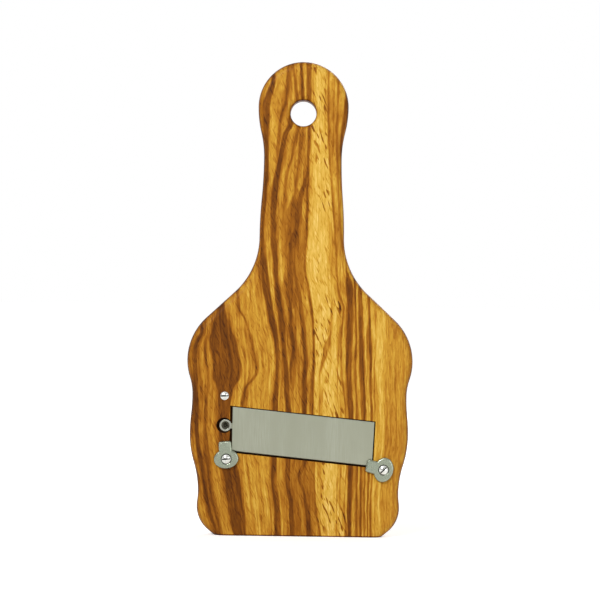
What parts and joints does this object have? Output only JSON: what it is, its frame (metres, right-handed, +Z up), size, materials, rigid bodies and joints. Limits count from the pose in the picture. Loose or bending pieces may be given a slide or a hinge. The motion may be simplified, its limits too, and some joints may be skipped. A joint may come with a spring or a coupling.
{
  "type": "truffle slicer",
  "caption": "Olive-wood paddle slicer with a leaning steel blade in a recess, turn clips, and a knob on the back that lifts the cutting edge.",
  "frame": {"origin": "middle of the sawn bottom end, half way through the board's thickness", "axes": "+Z up the board to the handle, -Y out of the front face that carries the blade, +X to the right seen from the front"},
  "size_m": [0.105, 0.0276, 0.2209],
  "materials": {
    "olive_wood": "oiled and polished",
    "blade_steel": "brushed stainless steel",
    "clip_steel": "tumbled stainless steel",
    "screw_steel": "nickel-plated, bright",
    "bridge_steel": "sheet stainless steel",
    "bush_brass": "turned brass",
    "turned_steel": "turned steel",
    "knob_metal": "turned and fluted"
  },
  "bodies": {
    "board": {"board": "olive_wood", "left_clip_screw": "screw_steel", "right_clip_screw": "screw_steel", "left_clip_nut": "screw_steel", "right_clip_nut": "screw_steel", "right_clip_washer": "screw_steel", "bridge_screw": "screw_steel", "bridge_nut": "screw_steel", "bridge_plate": "bridge_steel", "threaded_bush": "bush_brass"},
    "blade": {"blade": "blade_steel"},
    "left_clip": {"left_clip": "clip_steel"},
    "right_clip": {"right_clip": "clip_steel"},
    "lift_collar": {"lift_collar": "turned_steel"},
    "knob": {"adjusting_screw": "turned_steel", "knob": "knob_metal"}
  },
  "joints": [
    {"name": "knob_turn", "type": "hinge", "parent": "lift_collar", "child": "knob", "pos_m": [-0.03424, 0, 0.05126], "axis": [0, -1, 0], "range_deg": [0, 360]},
    {"name": "collar_lift", "type": "slide", "parent": "board", "child": "lift_collar", "axis": [0, -1, 0], "range_m": [0, 0.0008]},
    {"name": "blade_tilt", "type": "hinge", "parent": "board", "child": "blade", "pos_m": [0.00087, -0.00555, 0.03695], "axis": [0.9956, 0, -0.0941], "range_deg": [0, 4.2]},
    {"name": "left_clip_swivel", "type": "hinge", "parent": "board", "child": "left_clip", "pos_m": [-0.03361, -0.0075, 0.03568], "axis": [0, 1, 0], "continuous": true},
    {"name": "right_clip_swivel", "type": "hinge", "parent": "board", "child": "right_clip", "pos_m": [0.03954, -0.0075, 0.03163], "axis": [0, -1, 0], "continuous": true}
  ],
  "couplings": [
    {"joint": "collar_lift", "follows": "knob_turn", "m_per_rad": 0.0001273},
    {"joint": "blade_tilt", "follows": "knob_turn", "ratio": 0.011638}
  ]
}
